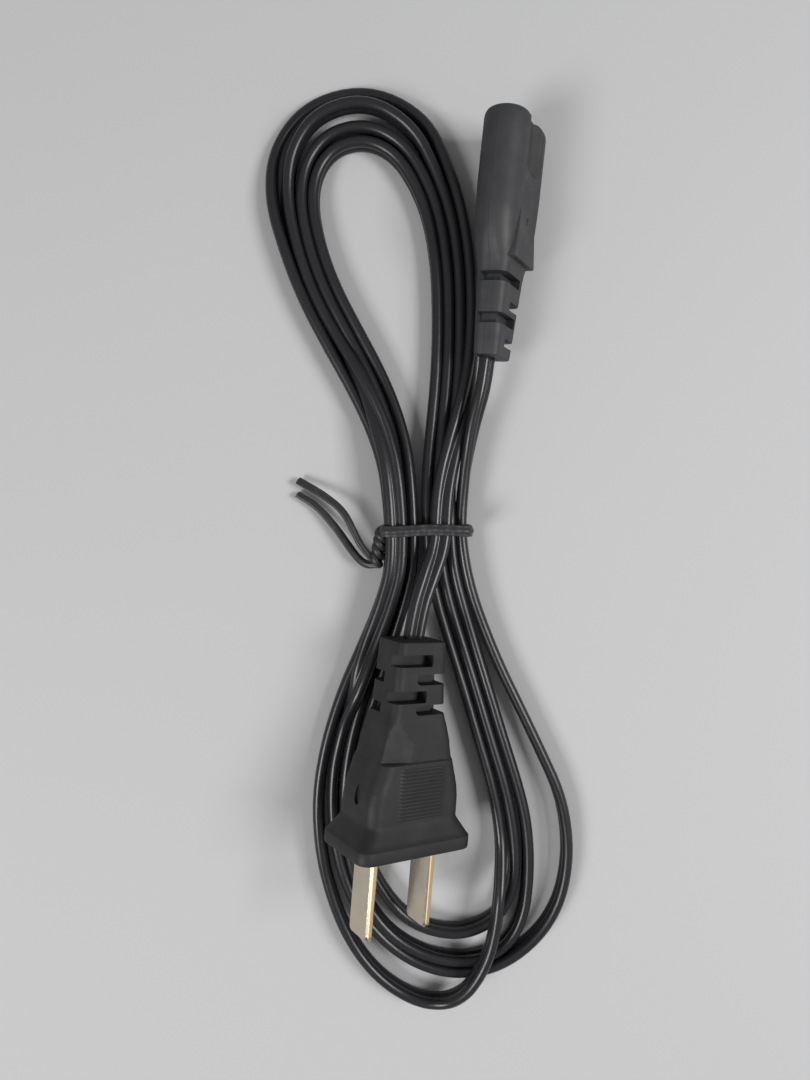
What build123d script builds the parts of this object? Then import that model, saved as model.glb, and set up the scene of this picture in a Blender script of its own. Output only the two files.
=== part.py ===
from build123d import *
import math
import os

os.makedirs("parts", exist_ok=True)

# Frame: millimetres, standing surface at z 0, the hank runs along y, the plug at its -y half.
# The plan points below are measured from the middle of the view; this offset centres the whole part.
MID_X = 4.082
MID_Y = -4.575


def at(x, y, z=0.0):
    return (x - MID_X, y - MID_Y, z)


def moved_plane(origin, x_dir, z_dir):
    return Plane(origin=at(*origin), x_dir=x_dir, z_dir=z_dir)


def save(shape, name):
    solids = shape.solids()
    print(name, "solids", len(solids), "volume", round(shape.volume, 1))
    export_step(solids[0] if len(solids) == 1 else shape, "parts/" + name + ".step")


def rounded_section(width, depth, corner, z):
    return Plane((0, 0, z)) * RectangleRounded(width, depth, corner)


def slot_cutter(x_from, x_to, y_from, y_to, z_from, z_to, end_x):
    # A slot across one corner of a strain relief, with one half round end.
    half = (z_to - z_from) / 2
    box = Pos((x_from + x_to) / 2, (y_from + y_to) / 2, (z_from + z_to) / 2) * Box(
        abs(x_to - x_from), y_to - y_from, z_to - z_from)
    end = Pos(end_x, (y_from + y_to) / 2, (z_from + z_to) / 2) * Rot(90, 0, 0) * Cylinder(half, y_to - y_from)
    return box + end


# Plug: local z points out of its front face along the blades, local x is the blade spacing.
PLUG_U = Vector(-0.080, -0.9952, 0.056).normalized()
PLUG_V = Vector(0.823, -0.098, -0.560)
PLUG_V = (PLUG_V - PLUG_U * PLUG_V.dot(PLUG_U)).normalized()
plug_plane = moved_plane((-1.6, -55.4, 12.3), PLUG_V, PLUG_U)
BLADE_HALF_SPACING = 6.35
BLADE_WIDTH = 6.3
BLADE_THICKNESS = 1.5
BLADE_LENGTH = 16.0
PLUG_BACK = -38.0
LOBE = 2.1

flange = Pos(0, 0, -2.5) * extrude(RectangleRounded(24.2, 15.2, 2.5), 2.5)
flange = chamfer(flange.edges().group_by(Axis.Z)[-1], 0.35)
shoulder = loft([rounded_section(24.0, 15.0, 2.4, -2.5), rounded_section(19.6, 12.0, 2.4, -5.6)])
grip = loft([rounded_section(19.6, 12.0, 2.4, -5.6), rounded_section(19.2, 11.8, 2.4, -16.6)])
neck_wide = loft([rounded_section(18.6, 11.0, 2.2, -16.6), rounded_section(12.4, 10.6, 2.0, -21.4)])
neck_ramp = loft([rounded_section(12.4, 10.6, 2.0, -21.4), rounded_section(10.8, 8.8, 1.7, -24.2)])
relief = loft([rounded_section(10.4, 8.8, 1.6, -24.2), rounded_section(9.2, 8.0, 1.4, PLUG_BACK)])
plug_body = flange + shoulder + grip + neck_wide + neck_ramp + relief

# Fine grip ribs across the two broad faces of the body.
for i in range(14):
    z = -6.9 - i * 0.66
    half_depth = 6.0 - 0.1 * (-5.6 - z) / 11.0
    for side in (1, -1):
        rib = Pos(0.6, side * (half_depth - 0.1), z) * Box(9.4, 0.56, 0.3)
        plug_body = plug_body + rib

# Oval moulding recess on the narrow left face.
recess = Pos(-9.6, 0.6, -11.4) * Rot(0, -90, 0) * extrude(SlotOverall(3.8, 1.2), 1.0, both=True)
plug_body = plug_body - (recess & (Pos(-9.95, 0, -11.4) * Box(1.5, 8, 8)))

# Staggered slots of the plug's strain relief, each pair opening on opposite corners.
for z_low, z_high, kind in ((-35.6, -33.5, 1), (-32.2, -30.2, 2), (-29.1, -27.0, 1), (-26.7, -24.9, 2)):
    for turn in (0, 180):
        if kind == 1:
            cutter = slot_cutter(-6.0, 1.4, 1.9, 6.0, z_low, z_high, 1.4)
        else:
            cutter = slot_cutter(-1.4, 6.0, 1.9, 6.0, z_low, z_high, -1.4)
        plug_body = plug_body - Rot(0, 0, turn) * cutter

# Inner blade carrier, fully inside the overmould.
plug_insert = Pos(0, 0, -10.8) * extrude(RectangleRounded(17.0, 8.4, 1.4), 9.0)
plug_insert = fillet(plug_insert.edges().group_by(Axis.Z)[0], 0.6)


def blade(side):
    # A flat blade with rounded tip corners, a shank in the carrier and a crimp barrel behind it.
    flat = Pos(side * BLADE_HALF_SPACING, 0, (BLADE_LENGTH - 11.0) / 2) * Box(
        BLADE_THICKNESS, BLADE_WIDTH, BLADE_LENGTH + 11.0)
    tip = flat.edges().filter_by(Axis.X).group_by(Axis.Z)[-1]
    flat = fillet(tip, 1.3)
    edges = flat.edges().filter_by(Axis.Y).group_by(Axis.Z)[-1]
    flat = chamfer(edges, 0.45)
    barrel = Pos(side * BLADE_HALF_SPACING, 0, -13.2) * Cylinder(1.5, 4.6)
    return flat + barrel


blade_left = blade(-1)
blade_right = blade(1)

# The two copper cores run from the crimp barrels back to the middle of the strain relief.
def core(side):
    line = FilletPolyline((side * BLADE_HALF_SPACING, 0, -15.5), (side * BLADE_HALF_SPACING, 0, -18.0),
                          (side * LOBE / 2, 0, -25.5), (side * LOBE / 2, 0, PLUG_BACK + 1.0), radius=2.0)
    return sweep(Plane(origin=line @ 0, z_dir=line % 0) * Circle(0.5), path=line)


plug_core_left = core(-1)
plug_core_right = core(1)

plug_insert = plug_insert - blade_left - blade_right
plug_body = plug_body - Pos(0, 0, -10.8) * extrude(RectangleRounded(17.0, 8.4, 1.4), 9.0)
plug_body = plug_body + (Pos(0, 0, -10.8) * extrude(RectangleRounded(17.0, 8.4, 1.4), 9.0) - plug_insert)
for piece in (blade_left, blade_right, plug_core_left, plug_core_right):
    plug_body = plug_body - piece

# Connector: local z points out of its front face, local x joins its two barrels, local y is its pad side.
CONN_U = Vector(0.100, 0.995, 0.0).normalized()
CONN_S = Vector(-0.452, 0.058, 0.890)
CONN_S = (CONN_S - CONN_U * CONN_S.dot(CONN_U)).normalized()
conn_plane = moved_plane((19.98, 75.5, 7.95), CONN_S, CONN_U)
BARREL = 8.2
PIN_SPACING = 8.6
CONN_LENGTH = 41.8

conn_body = Pos(0, 0, -13.0) * extrude(SlotCenterToCenter(PIN_SPACING, BARREL), 13.0)
conn_body = fillet(conn_body.edges().group_by(Axis.Z)[-1], 0.6)
conn_rear = loft([Plane((0, 0, -13.0)) * SlotCenterToCenter(PIN_SPACING, BARREL),
                  Plane((0, 0, -25.6)) * SlotCenterToCenter(8.2, 7.5)])
conn_neck = loft([rounded_section(11.4, 7.2, 2.2, -25.6), rounded_section(8.8, 5.8, 1.8, -CONN_LENGTH)])
conn_body = conn_body + conn_rear + conn_neck

# Key grooves between the barrels, along the front part of both flat faces.
for side in (1, -1):
    key = Pos(0, side * BARREL / 2, -5.0) * Box(2.2, 2.6, 10.0)
    key = key + Pos(0, side * BARREL / 2, -10.0) * Rot(90, 0, 0) * Cylinder(1.1, 2.6)
    conn_body = conn_body - key

# Wedge shaped thumb pad, wider and higher to the rear, with a small pip on it.
pad = loft([Plane((0, 3.4, -14.2)) * Rectangle(6.8, 1.3), Plane((0, 3.55, -24.9)) * Rectangle(10.4, 1.7)])
pad = fillet(pad.edges().filter_by(Axis.X).group_by(Axis.Z)[-1], 0.3)
conn_body = conn_body + pad
conn_body = conn_body + Pos(0.0, 4.0, -16.4) * Rot(90, 0, 0) * Cylinder(0.4, 1.2)

# Staggered slots of the connector's strain relief, each turning one corner of its section.
for z_low, z_high, mirror in ((-28.8, -27.1, 1), (-32.7, -31.3, -1), (-35.8, -34.1, 1), (-39.9, -38.5, -1)):
    for turn in (0, 180):
        middle = (z_low + z_high) / 2
        height = z_high - z_low
        across = Pos(mirror * 4.6, 1.4, middle) * Box(3.6, 7.0, height)
        along = Pos(mirror * 3.0, 3.3, middle) * Box(7.2, 2.8, height)
        conn_body = conn_body - Rot(0, 0, turn) * (across + along)

# Hard contact carrier with two sleeves; its mouth shows as the connector's front face.
CARRIER_SPACING = 8.2
carrier_blank = Pos(0, 0, -15.0) * extrude(SlotCenterToCenter(CARRIER_SPACING, 5.2), 15.0)
MOUTH_RADIUS = 1.35
SLEEVE_RADIUS = 1.75
connector_insert = carrier_blank
contacts = []
for side in (-1, 1):
    x = side * PIN_SPACING / 2
    mouth = Pos(x, 0, -1.0) * Cylinder(MOUTH_RADIUS, 2.0)
    seat = Pos(x, 0, -7.5) * Cylinder(SLEEVE_RADIUS, 11.0)
    connector_insert = connector_insert - mouth - seat
    sleeve = Pos(x, 0, -7.5) * (Cylinder(SLEEVE_RADIUS, 11.0) - Pos(0, 0, 0.6) * Cylinder(MOUTH_RADIUS, 10.0))
    contacts.append(sleeve)
connector_insert = connector_insert - Pos(0, 0, -14.0) * Box(PIN_SPACING + 0.6, 1.2, 2.0)
conn_body = conn_body - carrier_blank


def connector_core(side):
    line = FilletPolyline((side * PIN_SPACING / 2, 0, -15.0), (side * PIN_SPACING / 2, 0, -19.0),
                          (side * LOBE / 2, 0, -28.0), (side * LOBE / 2, 0, -CONN_LENGTH + 1.0), radius=2.0)
    return sweep(Plane(origin=line @ 0, z_dir=line % 0) * Circle(0.5), path=line)


connector_core_upper = connector_core(1)
connector_core_lower = connector_core(-1)
for piece in (connector_core_upper, connector_core_lower):
    conn_body = conn_body - piece

# Hank of the cord: its plan outline with the open windows between the turns.
outer_top = [(9.9, 8.6), (10.3, 15.0), (11.3, 22.6), (12.6, 31.8), (13.0, 41.2), (12.4, 51.9), (10.7, 61.5), (7.5, 70.0),
             (2.8, 78.0), (-6.8, 83.6), (-17.5, 81.3), (-23.4, 73.9), (-24.7, 64.3), (-22.6, 53.8), (-19.4, 44.2),
             (-15.2, 35.8), (-10.3, 27.1), (-6.6, 19.2), (-4.6, 11.4), (-3.5, 3.0)]
outer_left = [(-3.5, 3.0), (-3.8, -3.7), (-5.8, -12.2), (-9.5, -21.4), (-13.3, -30.6), (-16.4, -40.4), (-18.1, -50.3),
              (-17.7, -60.6), (-15.7, -70.0), (-11.9, -79.6), (-5.9, -87.6), (1.8, -92.5), (8.4, -92.4), (12.8, -89.6),
              (15.3, -87.0)]
outer_right = [(15.3, -87.0), (22.8, -83.3), (28.1, -78.0), (31.7, -71.3), (32.9, -63.5), (32.6, -56.1), (31.0, -48.8),
               (27.5, -41.1), (23.3, -32.3), (19.3, -24.2), (15.8, -16.4), (13.2, -9.3), (11.8, -2.8), (11.5, 3.0),
               (11.6, 8.6)]
window_top = [(2.8, 11.5), (3.9, 21.7), (4.8, 31.2), (5.1, 41.2), (4.8, 51.4), (3.4, 59.8), (0.7, 66.2), (-2.8, 70.9),
              (-7.2, 72.9), (-11.8, 71.9), (-14.8, 68.8), (-16.0, 63.6), (-14.8, 56.4), (-12.0, 48.5), (-7.9, 40.6),
              (-2.9, 31.2), (0.8, 21.3), (2.8, 11.5)]
window_main_left = [(3.1, -3.0), (0.9, -11.6), (-1.6, -20.1), (-4.6, -28.8), (-7.1, -37.9), (-8.4, -47.2), (-8.1, -56.2),
                    (-6.4, -63.0), (-3.6, -68.3), (0.4, -73.3), (5.5, -76.1), (10.9, -76.9), (16.2, -75.0)]
window_main_right = [(16.2, -75.0), (17.0, -69.0), (17.5, -64.3), (17.8, -59.6), (17.1, -54.0), (15.4, -46.5), (13.0, -38.5),
                     (10.4, -29.5), (7.7, -20.9), (5.1, -12.2), (3.1, -3.0)]
window_left_outer = [(-15.3, -57.5), (-13.7, -69.2), (-10.1, -78.5), (-4.7, -85.8), (2.3, -90.3), (7.6, -90.2), (11.0, -87.6)]
window_left_inner = [(11.0, -87.6), (1.9, -85.3), (-4.4, -80.9), (-9.5, -74.6), (-12.7, -67.6), (-15.3, -57.5)]
window_low_outer = [(-8.0, -68.0), (-2.0, -76.7), (3.6, -81.0), (10.0, -82.8), (16.8, -81.9)]
window_low_inner = [(16.8, -81.9), (16.9, -77.6), (11.1, -79.2), (4.6, -78.5), (-1.1, -75.7), (-8.0, -68.0)]
window_right_inner = [(14.6, -19.4), (17.4, -29.3), (20.2, -38.5), (22.9, -47.0), (24.7, -54.2), (25.3, -61.4), (24.9, -67.8),
                      (23.7, -73.7), (20.2, -81.8)]
window_right_outer = [(20.2, -81.8), (26.5, -76.6), (29.6, -70.6), (30.9, -63.5), (30.6, -56.5), (29.0, -49.6), (25.6, -42.0),
                      (21.5, -33.2), (17.6, -25.2), (14.6, -19.4)]


def curve(points):
    return Spline(*[at(x, y) for x, y in points])


def outline(*runs):
    wires = [curve(run) for run in runs]
    return make_face(Wire([edge for wire in wires for edge in wire.edges()]))


def across_x(profile):
    # A prism along x whose side view is given as (y, z) points.
    face = make_face(Polyline(*[(0, y - MID_Y, z) for y, z in profile], close=True))
    return Pos(-60, 0, 0) * extrude(face, 120, dir=(1, 0, 0))


def across_y(profile):
    # A prism along y whose front view is given as (x, z) points.
    face = make_face(Polyline(*[(x - MID_X, 0, z) for x, z in profile], close=True))
    return Pos(0, -120, 0) * extrude(face, 240, dir=(0, 1, 0))


plan_edges = [curve(outer_top), curve(outer_left), curve(outer_right)]
plan_edges.append(Line(at(11.6, 8.6), at(9.9, 8.6)))
plan = make_face(Wire([e for c in plan_edges for e in c.edges()]))
windows = [outline(window_top), outline(window_main_left, window_main_right), outline(window_left_outer, window_left_inner),
           outline(window_low_outer, window_low_inner), outline(window_right_inner, window_right_outer)]
hank = extrude(plan, 12, dir=(0, 0, 1))
for window in windows:
    hank = hank - extrude(window, 12, dir=(0, 0, 1))
hank = hank & across_x([(-97, 0), (-19, 0), (-5, 1.4), (9, 1.4), (23, 0), (90, 0), (90, 4.2), (25, 4.2), (9, 5.7),
                        (-5, 5.7), (-23, 4.2), (-97, 4.2)])


def raised(points, profile_solid):
    strip = make_face(Polyline(*[at(x, y) for x, y in points], close=True))
    return extrude(strip, 12, dir=(0, 0, 1)) & profile_solid


# Turns that lie on the others: the outer top turn, the lower crossing, and two flat runs at the tie.
top_ridge = raised([(6.5, 70.0), (1.8, 75.5), (-6.9, 80.4), (-16.2, 78.4), (-21.6, 71.4), (-19.2, 70.2), (-14.6, 75.6),
                    (-7.0, 77.4), (0.6, 73.0), (4.6, 68.6)],
                   across_y([(8, 3), (8, 4.2), (0, 6.4), (-15, 6.4), (-22, 4.2), (-22, 3)]))
low_crossing = raised([(7.6, -92.4), (12.4, -89.0), (15.5, -84.4), (17.6, -79.8), (18.7, -74.5), (19.3, -69.2),
                       (19.9, -58.0), (17.8, -58.0), (17.2, -69.0), (16.5, -74.2), (15.5, -79.2), (13.5, -83.4),
                       (11.0, -87.2), (7.4, -90.2)],
                      across_x([(-93, 3), (-93, 4.2), (-84.5, 8.4), (-69, 8.4), (-58, 4.2), (-58, 3)]))
plug_run = raised([(4.6, -1.5), (4.6, 8.0), (5.7, 14.0), (8.0, 22.0), (10.1, 32.0), (12.6, 32.0), (12.3, 22.6),
                   (9.9, 14.0), (8.8, 8.0), (8.8, -1.5)],
                  across_x([(-1.5, 3), (-1.5, 8.0), (9, 8.0), (24, 6.3), (32, 4.2), (32, 3)]))
left_run = raised([(-3.4, 4.0), (-3.4, -3.0), (-5.2, -11.6), (-8.0, -20.1), (-11.4, -29.5), (-8.8, -29.5), (-4.0, -20.1),
                   (-1.2, -11.6), (0.7, -3.0), (0.7, 5.0), (-0.2, 12.4), (-3.0, 21.4), (-7.6, 31.0), (-10.0, 29.6),
                   (-6.2, 20.0), (-4.3, 12.0)],
                  across_x([(-30, 3), (-30, 4.2), (-20, 5.6), (-5, 8.0), (9, 8.0), (22, 6.0), (31, 4.2), (31, 3)]))
for strip in (top_ridge, low_crossing, plug_run, left_run):
    hank = hank + strip

# Twist tie: a ring round the waist, a tight twist and two loose ends.
RING_WIDTH = 2.1
RING_WALL = 1.4
ring_plane = Plane(origin=at(4.0, 2.3, 4.7), x_dir=(1, 0, 0), z_dir=(0, -1, 0))
ring_outer = ring_plane * extrude(RectangleRounded(18.0, 9.4, 2.2), RING_WIDTH / 2, both=True)
ring_inner = ring_plane * extrude(RectangleRounded(18.0 - 2 * RING_WALL, 9.4 - 2 * RING_WALL, 1.0), RING_WIDTH, both=True)
tie = ring_outer - ring_inner
ring_rims = tie.edges().filter_by(lambda e: e.length > 0.5 and abs((e @ 0.5).Y - at(0, 2.3)[1]) > 0.5)
tie = fillet(ring_rims, 0.45)


def tube(points, radius, bend):
    line = FilletPolyline(*[at(*p) for p in points], radius=bend)
    return sweep(Plane(origin=line @ 0, z_dir=line % 0) * Circle(radius), path=line)


twist = tube([(-4.4, 2.3, 5.4), (-4.8, -0.6, 4.6), (-5.6, -4.6, 3.4)], 1.45, 3.0)
upper_end = tube([(-5.4, -4.2, 3.6), (-8.4, -0.4, 4.4), (-11.8, 6.0, 4.0), (-17.4, 9.6, 2.4), (-20.6, 11.6, 1.4)], 0.75, 2.5)
lower_end = tube([(-5.6, -4.6, 3.4), (-8.9, -3.6, 2.6), (-13.3, 2.3, 2.0), (-18.4, 7.8, 1.2), (-20.8, 9.0, 0.9)], 0.75, 2.5)
tie = tie + twist + upper_end + lower_end
hank = hank - tie


def bend_radii(points):
    # Each arc is as large as its two runs allow.
    radii = []
    for before, corner, after in zip(points, points[1:], points[2:]):
        run_in = Vector(*corner) - Vector(*before)
        run_out = Vector(*after) - Vector(*corner)
        turn = math.radians(run_in.get_angle(run_out))
        radii.append(0.45 * min(run_in.length, run_out.length) / math.tan(turn / 2))
    return radii


def flat_cord(name, points, across):
    # The two lobed cord as a flat tube along straight runs joined by tangent arcs.
    radii = bend_radii(points)
    line = FilletPolyline(*[at(*p) for p in points], radius=radii)
    start = line % 0
    across = (across - start * across.dot(start)).normalized()
    section = Plane(origin=line @ 0, x_dir=across, z_dir=start) * SlotCenterToCenter(LOBE, LOBE)
    solid = sweep(section, path=line)
    print(name, "length", round(line.length, 1), "volume ratio", round(solid.volume / (section.area * line.length), 3),
          "radii", [round(r, 1) for r in radii])
    return solid


def in_plan(plane, x, y, z):
    # A point given in a piece's own frame, in the plan frame.
    point = plane.from_local_coords((x, y, z))
    return (point.X + MID_X, point.Y + MID_Y, point.Z)


plug_lead = flat_cord("plug lead", [in_plan(plug_plane, 0, 0, PLUG_BACK), in_plan(plug_plane, 0, 0, PLUG_BACK - 5.6),
                                    (4.3, -6.2, 8.6), (6.8, -0.6, 7.0)], PLUG_V)
connector_lead = flat_cord("connector lead", [in_plan(conn_plane, 0.5, -0.6, -CONN_LENGTH),
                                              in_plan(conn_plane, 0.5, -0.6, -CONN_LENGTH - 4.8),
                                              (12.8, 22.6, 6.7), (11.6, 15.7, 5.0), (10.9, 9.6, 3.9)], CONN_S)
plug_lead = (plug_lead - hank).solids().sort_by(SortBy.VOLUME)[-1]
connector_lead = (connector_lead - hank).solids().sort_by(SortBy.VOLUME)[-1]

results = {
    "plug_overmould": plug_plane * plug_body,
    "plug_insert": plug_plane * plug_insert,
    "blade_left": plug_plane * blade_left,
    "blade_right": plug_plane * blade_right,
    "plug_core_left": plug_plane * plug_core_left,
    "plug_core_right": plug_plane * plug_core_right,
    "connector_overmould": conn_plane * conn_body,
    "connector_insert": conn_plane * connector_insert,
    "contact_upper": conn_plane * contacts[1],
    "contact_lower": conn_plane * contacts[0],
    "connector_core_upper": conn_plane * connector_core_upper,
    "connector_core_lower": conn_plane * connector_core_lower,
    "cord_hank": hank,
    "plug_lead": plug_lead,
    "connector_lead": connector_lead,
    "twist_tie": tie,
}
for name, shape in results.items():
    save(shape, name)
whole = Compound(children=[s for s in results.values()])
box = whole.bounding_box()
print("box", box.min, box.max)
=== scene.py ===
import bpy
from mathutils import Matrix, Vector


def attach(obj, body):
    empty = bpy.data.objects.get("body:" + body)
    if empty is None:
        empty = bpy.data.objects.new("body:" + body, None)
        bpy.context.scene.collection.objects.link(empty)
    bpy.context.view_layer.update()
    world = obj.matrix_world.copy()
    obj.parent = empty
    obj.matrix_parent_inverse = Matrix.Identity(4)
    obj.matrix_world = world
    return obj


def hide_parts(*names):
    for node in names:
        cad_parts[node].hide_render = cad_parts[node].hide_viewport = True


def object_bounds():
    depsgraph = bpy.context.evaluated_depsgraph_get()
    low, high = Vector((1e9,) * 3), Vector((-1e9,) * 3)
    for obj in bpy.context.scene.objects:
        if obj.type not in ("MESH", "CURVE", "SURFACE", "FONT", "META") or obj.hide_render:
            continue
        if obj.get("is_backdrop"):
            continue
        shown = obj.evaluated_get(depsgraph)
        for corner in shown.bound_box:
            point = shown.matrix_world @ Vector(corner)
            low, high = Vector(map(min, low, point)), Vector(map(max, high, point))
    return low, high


bl_info = {
    "name": "Tied Power Cord",
    "version": (1, 0, 0),
    "blender": (4, 5, 0),
    "location": "3D View > Sidebar > Power Cord",
    "description": "Lays a flat two-core flex in a tied hank and dresses its plug, connector and tie",
    "category": "Add Mesh",
}

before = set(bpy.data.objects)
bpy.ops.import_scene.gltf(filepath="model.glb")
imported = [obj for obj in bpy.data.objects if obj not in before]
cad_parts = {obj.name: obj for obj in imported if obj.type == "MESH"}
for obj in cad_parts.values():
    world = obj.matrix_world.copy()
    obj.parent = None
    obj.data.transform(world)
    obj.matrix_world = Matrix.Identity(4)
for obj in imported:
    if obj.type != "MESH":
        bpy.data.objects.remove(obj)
CAD_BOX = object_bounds()

import math

import bmesh
import bpy
import numpy as np
from bpy.props import FloatProperty, FloatVectorProperty, IntProperty, PointerProperty

MM = 0.001

# The plan points are millimetres from the middle of the view; this offset puts them in the part's frame.
PLAN_OFFSET = np.array([4.082, -4.575, 0.0])

# The camera: focal length and picture height in pixels, tilt in degrees, place in plan millimetres.
FOCAL_PIXELS = 811
PICTURE_PIXELS = 1080
SENSOR_HEIGHT = 36.0
CAMERA_TILT = -4.0
CAMERA_PLACE = (0.0, 11.06, 158.1)

# The two soft lamps: name, place and size in metres, share of the key power.
LAMPS = (
    ("lamp_left", (-0.34, -0.20, 0.42), 0.20, 0.8),
    ("lamp_right", (0.38, 0.0, 0.42), 0.22, 1.0),
)
FLOOR_EDGE = 1.5

# The plug's own frame: z points out of its front face along the blades, x is the blade spacing.
PLUG_ORIGIN = (-1.6, -55.4, 12.3)
PLUG_SPACING_DIR = (0.823, -0.098, -0.560)
PLUG_BLADE_DIR = (-0.080, -0.9952, 0.056)
PLUG_BACK = -38.0
BLADE_HALF_WIDTH = 0.00315

# The connector's own frame: z points out of its mouth, x from the lower barrel to the upper one.
CONNECTOR_ORIGIN = (19.98, 75.5, 7.95)
CONNECTOR_BARREL_DIR = (-0.452, 0.058, 0.890)
CONNECTOR_MOUTH_DIR = (0.100, 0.995, 0.0)
BARREL_MIDDLE = 4.3
BARREL_RADIUS = 4.1

# Edges that turn by more than these degrees stay sharp.
SHARP_ANGLE = 38
TIE_SHARP_ANGLE = 50

# The colours that aren't settings
SHEARED_BRASS = (0.64, 0.49, 0.28)
SLEEVE_BRASS = (0.66, 0.50, 0.27)
CORE_COPPER = (0.72, 0.36, 0.20)
CARRIER_BLACK = (0.02, 0.02, 0.02)
CONNECTOR_HANDLED = (0.0440, 0.0442, 0.0460)


# Sizes and colours that a user would change


def millimetres(name, description, default, low, high):
    return FloatProperty(
        name=name, description=description + ", in millimetres", default=default, min=low, max=high)


def colour_setting(name, description, default):
    return FloatVectorProperty(
        name=name, description=description, subtype="COLOR", size=3, default=default, min=0, max=1)


class FlexSettings(bpy.types.PropertyGroup):
    lobe: millimetres("Lobe", "Thickness of one of the two lobes of the flat flex", 2.1, 1.0, 4.0)
    web: millimetres("Web", "Half thickness of the web between the lobes", 0.6, 0.2, 1.0)
    steps: IntProperty(
        name="Steps", description="Rings of the tube for each point of the route", default=6, min=3, max=12)
    sides: IntProperty(
        name="Sides", description="Points round each ring of the tube", default=36, min=16, max=64)
    colour: colour_setting("Flex", "Colour of the flex jacket", (0.0165, 0.0162, 0.0185))
    gloss: FloatProperty(
        name="Roughness", description="Roughness of the flex jacket", subtype="FACTOR", default=0.24,
        min=0, max=1)


class MouldingSettings(bpy.types.PropertyGroup):
    plug_colour: colour_setting("Plug", "Colour of the plug moulding", (0.0140, 0.0140, 0.0142))
    connector_colour: colour_setting(
        "Connector", "Colour of the connector moulding", (0.0350, 0.0360, 0.0395))
    blade_colour: colour_setting("Blades", "Colour of the plated blades", (0.62, 0.55, 0.44))
    rib_height: millimetres("Rib height", "Height of the fine grip ribs", 0.14, 0.0, 0.5)
    rib_pitch: millimetres("Rib pitch", "Distance from one grip rib to the next", 0.66, 0.3, 2.0)


class TieSettings(bpy.types.PropertyGroup):
    band: millimetres("Band width", "Width of the tie's band", 2.1, 1.0, 5.0)
    wire: millimetres("Wire", "Thickness over the wire in the tie", 1.25, 0.5, 3.0)
    turns: FloatProperty(
        name="Turns", description="Turns of the tie's two ends about each other", default=2.2,
        min=0.5, max=6.0)
    colour: colour_setting("Tie", "Colour of the tie", (0.024, 0.024, 0.026))


class StageSettings(bpy.types.PropertyGroup):
    floor_colour: colour_setting("Floor", "Colour of the floor", (0.505, 0.505, 0.505))
    key_power: FloatProperty(
        name="Key", description="Power of the two soft lamps, in watts", default=2.2, min=0.0, max=100.0)
    sky: FloatProperty(
        name="Sky", description="Strength of the even light from all round", default=0.27,
        min=0.0, max=2.0)


# Places and shapes


def unit(v):
    return np.asarray(v, float) / np.linalg.norm(v)


def to_part(points):
    """Plan millimetres to metres in the part's frame: the offset is taken away, then the scale applied."""
    return (np.asarray(points, float) - PLAN_OFFSET) * MM


def set_down(local, origin, x_dir, z_dir):
    """Local points to the plan frame: origin + x X + y Y + z Z, with Z kept, X squared to it and
    Y = Z cross X."""
    z = unit(z_dir)
    x = np.asarray(x_dir, float)
    x = unit(x - z * (x @ z))
    y = np.cross(z, x)
    return np.asarray(origin, float) + np.asarray(local, float) @ np.array([x, y, z])


def on_plug(local):
    return to_part(set_down(local, PLUG_ORIGIN, PLUG_SPACING_DIR, PLUG_BLADE_DIR))


def on_connector(local):
    return to_part(set_down(local, CONNECTOR_ORIGIN, CONNECTOR_BARREL_DIR, CONNECTOR_MOUTH_DIR))


def seam_plane(origin, x_dir, z_dir):
    """The plane where the mould's halves met: its normal, Z cross X, and how far along that normal it
    lies."""
    normal = np.cross(unit(z_dir), unit(x_dir))
    return normal, float(to_part([origin])[0] @ normal)


def enclosed_volume(points, quads):
    """Six times the volume inside the quads, or nearly so where their ends are open: the sum of the triple
    products of their corners, two triangles to a quad."""
    corner = points[quads] - points.mean(axis=0)
    first = np.einsum("ij,ij->", corner[:, 0], np.cross(corner[:, 1], corner[:, 2]))
    return first + np.einsum("ij,ij->", corner[:, 0], np.cross(corner[:, 2], corner[:, 3]))


def wrapped_coords(uv, quads, ends):
    """Texture coordinates for each corner; on the quads that close a ring, 0 is written as 1."""
    full = uv.reshape(-1, 2)
    wrapped = full[quads]
    round_it = wrapped[:, :, 1]
    seam = round_it.max(axis=1) - round_it.min(axis=1) > 0.5
    wrapped[:, :, 1] = np.where(seam[:, None] & (round_it < 0.5), round_it + 1, round_it)
    return np.concatenate([wrapped.reshape(-1, 2), full[ends[0]], full[ends[1]]])


def tube_shell(rings, uv=None):
    """A closed shell from an array of rings (rows, columns, 3): quads between neighbouring rings and one
    face over each end. The faces are turned over where the enclosed volume comes out negative."""
    rows, columns = rings.shape[:2]
    index = np.arange(rows * columns).reshape(rows, columns)
    right = np.roll(index, -1, axis=1)
    quads = np.stack([index[:-1], right[:-1], right[1:], index[1:]], axis=-1).reshape(-1, 4)
    points = rings.reshape(-1, 3)
    ends = [index[0][::-1], index[-1]]
    if enclosed_volume(points, quads) < 0:
        quads = quads[:, ::-1]
        ends = [end[::-1] for end in ends]
    faces = quads.tolist() + [end.tolist() for end in ends]
    return points, faces, None if uv is None else wrapped_coords(uv, quads, ends)


def closed_loop_shell(rings):
    """A closed shell from rings that run back to the first one: quads all the way round, no ends."""
    rows, columns = rings.shape[:2]
    index = np.arange(rows * columns).reshape(rows, columns)
    right = np.roll(index, -1, axis=1)
    below = np.roll(index, -1, axis=0)
    quads = np.stack([index, right, np.roll(right, -1, axis=0), below], axis=-1).reshape(-1, 4)
    points = rings.reshape(-1, 3)
    if enclosed_volume(points, quads) < 0:
        quads = quads[:, ::-1]
    return points, quads.tolist(), None


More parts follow.
